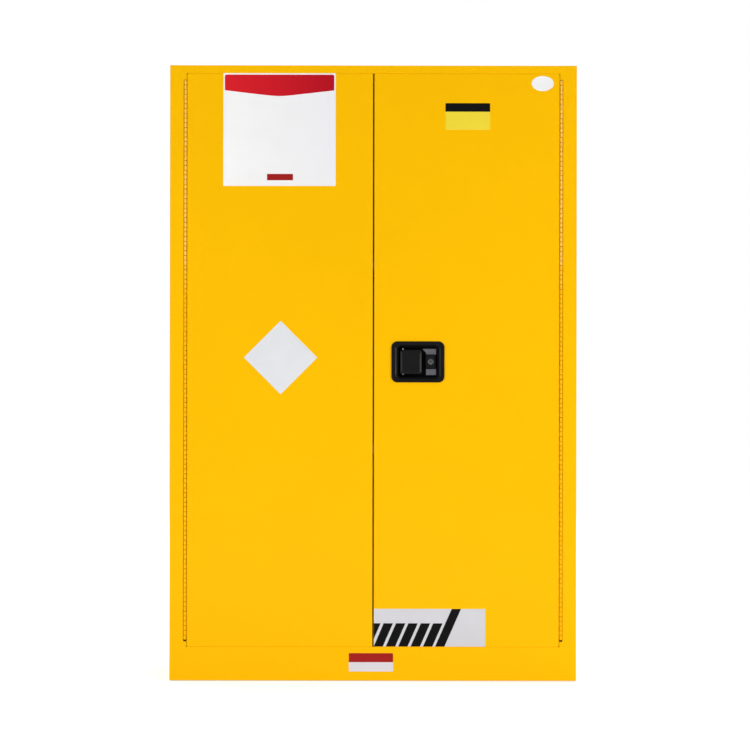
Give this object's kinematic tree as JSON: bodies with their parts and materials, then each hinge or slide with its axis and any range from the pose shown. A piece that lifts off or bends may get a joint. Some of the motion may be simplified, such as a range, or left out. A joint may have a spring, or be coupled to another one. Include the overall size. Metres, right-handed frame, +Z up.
{
  "type": "flammable safety cabinet",
  "caption": "Tall double-walled yellow steel storage cabinet with piano-hinged doors, a recessed paddle latch working rods and a bolt, tray shelves, capped side vents and a spill sump.",
  "frame": {"origin": "on the floor, under the middle of the cabinet's bounding box", "axes": "+Z up, +X to the right seen from the front, the doors face -Y"},
  "size_m": [1.1236, 0.464, 1.65],
  "materials": {
    "yellow_paint": "smooth powder coat",
    "inner_paint": "smooth powder coat",
    "hinge_paint": "powder coat over rolled steel",
    "zinc_steel": "bright zinc plate",
    "shelf_steel": "galvanised sheet",
    "vent_steel": "powder coat",
    "vent_gauze": "woven gauze",
    "cap_black": "satin moulding",
    "earth_brass": "turned",
    "foot_black": "matte",
    "latch_black": "satin black coat over die casting",
    "recess_steel": "dark plated sheet",
    "plug_bright": "polished",
    "spring_steel": "drawn wire"
  },
  "bodies": {
    "cabinet": {"top_panel": "yellow_paint", "left_side_panel": "yellow_paint", "right_side_panel": "yellow_paint", "back_panel": "yellow_paint", "base_pan": "yellow_paint", "frame_header": "yellow_paint", "frame_left_stile": "yellow_paint", "frame_right_stile": "yellow_paint", "frame_sill": "yellow_paint", "header_stop": "yellow_paint", "sill_stop": "yellow_paint", "liner_top": "inner_paint", "liner_left": "inner_paint", "liner_right": "inner_paint", "liner_back": "inner_paint", "sump_floor": "inner_paint", "sump_dam": "inner_paint", "wall_spacers": "zinc_steel", "shelf_rails": "zinc_steel", "shelf_clips": "zinc_steel", "vent_sleeves": "vent_steel", "flame_arresters": "vent_gauze", "ground_stud": "earth_brass", "ground_nut": "earth_brass", "levelling_feet": "foot_black", "foot_nut_plates": "zinc_steel", "left_frame_leaf": "hinge_paint", "right_frame_leaf": "hinge_paint", "hinge_pins": "zinc_steel", "frame_keepers": "zinc_steel"},
    "left_door": {"left_door_skin": "yellow_paint", "left_door_inner": "inner_paint", "left_door_stiffener": "inner_paint", "left_door_leaf": "hinge_paint", "centre_keeper": "zinc_steel"},
    "right_door": {"right_door_skin": "yellow_paint", "right_door_inner": "inner_paint", "right_door_stiffener": "inner_paint", "right_door_leaf": "hinge_paint", "latch_pan": "latch_black", "recess_plate": "recess_steel", "latch_back_plate": "zinc_steel", "pan_studs": "zinc_steel", "hub_axle": "zinc_steel", "rod_guides": "zinc_steel", "paddle_pin": "zinc_steel", "paddle_spring": "spring_steel", "lock_housing": "latch_black"},
    "paddle": {"paddle": "latch_black"},
    "latch_hub": {"latch_hub": "zinc_steel", "hub_pins": "zinc_steel"},
    "upper_rod": {"upper_rod": "zinc_steel"},
    "lower_rod": {"lower_rod": "zinc_steel"},
    "centre_bolt": {"centre_bolt": "zinc_steel"},
    "lock": {"lock_plug": "plug_bright", "lock_cam": "zinc_steel"},
    "upper_shelf": {"upper_shelf": "shelf_steel"},
    "lower_shelf": {"lower_shelf": "shelf_steel"},
    "left_vent_cap": {"left_vent_cap": "cap_black"},
    "right_vent_cap": {"right_vent_cap": "cap_black"}
  },
  "joints": [
    {"name": "left_door_swing", "type": "hinge", "parent": "cabinet", "child": "left_door", "pos_m": [-0.5035, -0.228, 0.86], "axis": [0, 0, -1], "range_deg": [0, 170]},
    {"name": "right_door_swing", "type": "hinge", "parent": "cabinet", "child": "right_door", "pos_m": [0.5035, -0.228, 0.86], "axis": [0, 0, 1], "range_deg": [0, 170]},
    {"name": "paddle_pull", "type": "hinge", "parent": "right_door", "child": "paddle", "pos_m": [0.0802, -0.2155, 0.856], "axis": [0, 0, -1], "range_deg": [-10, 20], "stiffness_Nm_per_rad": 0.6},
    {"name": "hub_turn", "type": "hinge", "parent": "right_door", "child": "latch_hub", "pos_m": [0.0865, -0.189, 0.8355], "axis": [0, 1, 0], "range_deg": [-10, 20]},
    {"name": "upper_rod_slide", "type": "slide", "parent": "right_door", "child": "upper_rod", "axis": [0, 0, -1], "range_m": [-0.0079, 0.0157]},
    {"name": "lower_rod_slide", "type": "slide", "parent": "right_door", "child": "lower_rod", "axis": [0, 0, 1], "range_m": [-0.0079, 0.0157]},
    {"name": "centre_bolt_slide", "type": "slide", "parent": "right_door", "child": "centre_bolt", "axis": [1, 0, 0], "range_m": [-0.0098, 0.0195]},
    {"name": "lock_turn", "type": "hinge", "parent": "right_door", "child": "lock", "pos_m": [0.1545, -0.2, 0.8565], "axis": [0, 1, 0], "range_deg": [0, 90]},
    {"name": "upper_shelf_lift", "type": "slide", "parent": "cabinet", "child": "upper_shelf", "axis": [0, 0, 1], "range_m": [0, 0.05]},
    {"name": "lower_shelf_lift", "type": "slide", "parent": "cabinet", "child": "lower_shelf", "axis": [0, 0, 1], "range_m": [0, 0.05]},
    {"name": "left_vent_cap_pull", "type": "slide", "parent": "cabinet", "child": "left_vent_cap", "axis": [-1, 0, 0], "range_m": [0, 0.03]},
    {"name": "right_vent_cap_pull", "type": "slide", "parent": "cabinet", "child": "right_vent_cap", "axis": [1, 0, 0], "range_m": [0, 0.03]}
  ],
  "couplings": [
    {"joint": "hub_turn", "follows": "paddle_pull", "ratio": 1},
    {"joint": "upper_rod_slide", "follows": "paddle_pull", "m_per_rad": 0.0446},
    {"joint": "lower_rod_slide", "follows": "paddle_pull", "m_per_rad": 0.0446},
    {"joint": "centre_bolt_slide", "follows": "paddle_pull", "m_per_rad": 0.0554}
  ]
}
